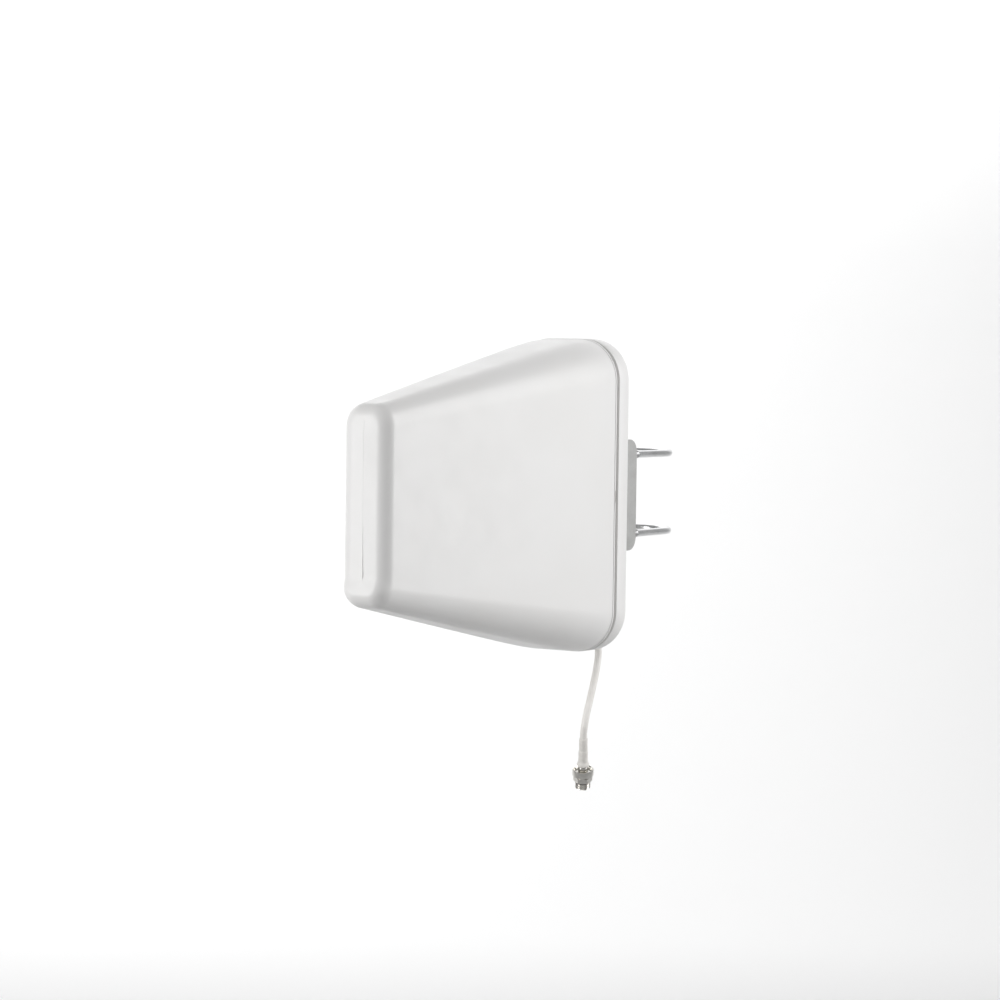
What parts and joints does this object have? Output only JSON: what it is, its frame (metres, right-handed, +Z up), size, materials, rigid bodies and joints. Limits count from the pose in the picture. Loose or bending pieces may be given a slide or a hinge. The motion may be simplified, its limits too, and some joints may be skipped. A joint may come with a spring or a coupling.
{
  "type": "yagi antenna",
  "caption": "Directional antenna: tapered closed housing over twin booms of dipole rods, with a channel pole bracket, U-bolts and a short coaxial lead ending in a threaded jack.",
  "frame": {"origin": "on the mast axis at the height of the booms, midway between the two U-bolts", "axes": "+X boresight from mast to nose, +Z up along the mast, +Y completes the right-handed set (the antenna's left side)"},
  "size_m": [0.3561, 0.081, 0.3106],
  "materials": {
    "housing": "satin moulded white ABS",
    "seal": "matt",
    "aluminium": "mill finish",
    "brass": "plain",
    "nylon": "moulded",
    "bracket": "bead-blasted zinc",
    "steel": "bright plated steel",
    "nickel": "nickel plate",
    "jacket": "satin PVC",
    "boot": "heat-shrink",
    "ptfe": "smooth"
  },
  "bodies": {
    "housing": {"radome_shell": "housing", "rear_cover": "housing", "cover_gasket": "seal", "boom_a": "aluminium", "boom_b": "aluminium", "dipole_1_upper": "aluminium", "dipole_1_lower": "aluminium", "dipole_2_upper": "aluminium", "dipole_2_lower": "aluminium", "dipole_3_upper": "aluminium", "dipole_3_lower": "aluminium", "dipole_4_upper": "aluminium", "dipole_4_lower": "aluminium", "dipole_5_upper": "aluminium", "dipole_5_lower": "aluminium", "dipole_6_upper": "aluminium", "dipole_6_lower": "aluminium", "dipole_7_upper": "aluminium", "dipole_7_lower": "aluminium", "dipole_8_upper": "aluminium", "dipole_8_lower": "aluminium", "dipole_9_upper": "aluminium", "dipole_9_lower": "aluminium", "rear_short": "brass", "boom_spacer": "nylon", "nose_support": "nylon", "boom_cradle": "nylon", "cradle_screw_1": "steel", "cradle_screw_2": "steel", "feed_coax": "jacket", "feed_tab": "brass", "pole_bracket": "bracket", "pole_jaw": "bracket", "bracket_screw_1": "steel", "bracket_screw_2": "steel", "bracket_screw_3": "steel", "bracket_screw_4": "steel", "upper_left_washer": "steel", "upper_right_washer": "steel", "lower_left_washer": "steel", "lower_right_washer": "steel", "cable_gland": "housing", "gland_nut": "nylon", "coax_cable": "jacket", "cable_boot": "boot", "jack_body": "nickel", "jack_hex": "nickel", "jack_insulator": "ptfe", "jack_contact": "brass"},
    "upper_ubolt_body": {"upper_ubolt": "steel"},
    "upper_left_nut_body": {"upper_left_nut": "steel"},
    "upper_right_nut_body": {"upper_right_nut": "steel"},
    "lower_ubolt_body": {"lower_ubolt": "steel"},
    "lower_left_nut_body": {"lower_left_nut": "steel"},
    "lower_right_nut_body": {"lower_right_nut": "steel"}
  },
  "joints": [
    {"name": "upper_ubolt_draw", "type": "slide", "parent": "housing", "child": "upper_ubolt_body", "axis": [-1, 0, 0], "range_m": [-0.0032, 0.0056]},
    {"name": "upper_left_nut_turn", "type": "hinge", "parent": "housing", "child": "upper_left_nut_body", "pos_m": [0.0556, 0.02695, 0.027], "axis": [1, 0, 0], "range_deg": [-1440.1, 2520.1]},
    {"name": "upper_right_nut_turn", "type": "hinge", "parent": "housing", "child": "upper_right_nut_body", "pos_m": [0.0556, -0.02695, 0.027], "axis": [1, 0, 0], "range_deg": [-1440.1, 2520.1]},
    {"name": "lower_ubolt_draw", "type": "slide", "parent": "housing", "child": "lower_ubolt_body", "axis": [-1, 0, 0], "range_m": [-0.0032, 0.0056]},
    {"name": "lower_left_nut_turn", "type": "hinge", "parent": "housing", "child": "lower_left_nut_body", "pos_m": [0.0556, 0.02695, -0.027], "axis": [1, 0, 0], "range_deg": [-1440.1, 2520.1]},
    {"name": "lower_right_nut_turn", "type": "hinge", "parent": "housing", "child": "lower_right_nut_body", "pos_m": [0.0556, -0.02695, -0.027], "axis": [1, 0, 0], "range_deg": [-1440.1, 2520.1]}
  ],
  "couplings": [
    {"joint": "upper_left_nut_turn", "follows": "upper_ubolt_draw", "rad_per_m": 7854},
    {"joint": "upper_right_nut_turn", "follows": "upper_ubolt_draw", "rad_per_m": 7854},
    {"joint": "lower_left_nut_turn", "follows": "lower_ubolt_draw", "rad_per_m": 7854},
    {"joint": "lower_right_nut_turn", "follows": "lower_ubolt_draw", "rad_per_m": 7854}
  ]
}
